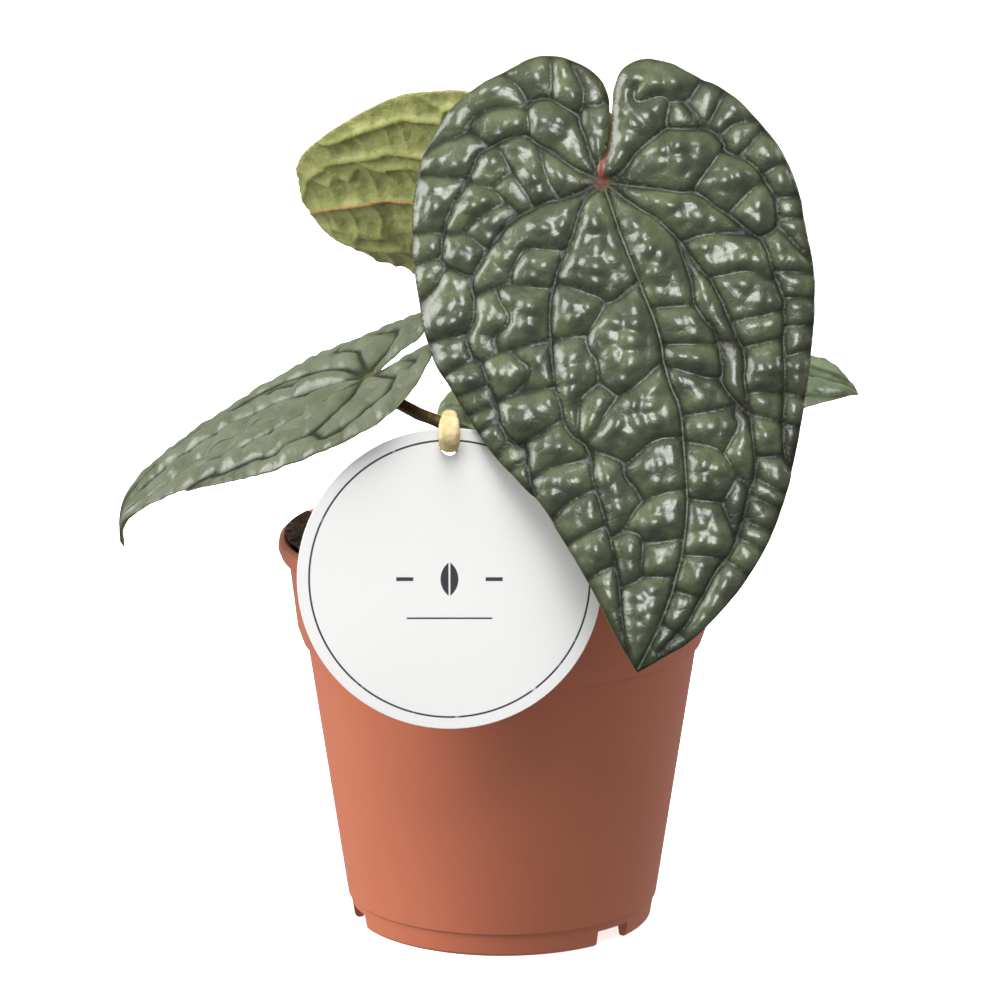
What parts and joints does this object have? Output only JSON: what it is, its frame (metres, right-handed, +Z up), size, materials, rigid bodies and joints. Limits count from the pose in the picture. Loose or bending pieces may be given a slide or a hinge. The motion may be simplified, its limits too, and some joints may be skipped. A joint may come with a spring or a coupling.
{
  "type": "potted anthurium luxurians",
  "caption": "Young potted aroid with quilted heart-shaped leaves on slim stalks, in a tapered terracotta-coloured plastic nursery pot, with a round card tag tied to a stalk.",
  "frame": {"origin": "under the middle of the plant's spread, level with the bottom of the pot's foot; the pot's axis stands 2.7 mm to +X and 10.6 mm to -Y of it", "axes": "+Z up along the pot's axis, the large front leaf and the tag face -Y, +X to the viewer's right"},
  "size_m": [0.1985, 0.1818, 0.2394],
  "materials": {
    "pot_plastic": "satin moulded polypropylene, terracotta coloured",
    "potting_soil": "damp peat and coconut fibre",
    "crown_sheath": "dry papery sheath",
    "mature_leaf": "glossy quilted leaf, dark grey-green",
    "leaf_underside": "satin olive leaf underside",
    "young_leaf": "satin quilted leaf, silvery green",
    "leaf_stalk": "smooth brown leaf stalk",
    "tag_card": "uncoated white card",
    "tag_tie": "matt cream band"
  },
  "bodies": {
    "root": {"pot": "pot_plastic", "soil": "potting_soil", "crown": "crown_sheath", "leaf_front_blade": "mature_leaf", "leaf_front_stalk": "leaf_stalk", "leaf_back_blade": "leaf_underside", "leaf_back_stalk": "leaf_stalk", "leaf_left_blade": "young_leaf", "leaf_left_stalk": "leaf_stalk", "leaf_right_blade": "young_leaf", "leaf_right_stalk": "leaf_stalk", "hang_tag": "tag_card", "tag_tie": "tag_tie"}
  },
  "joints": []
}
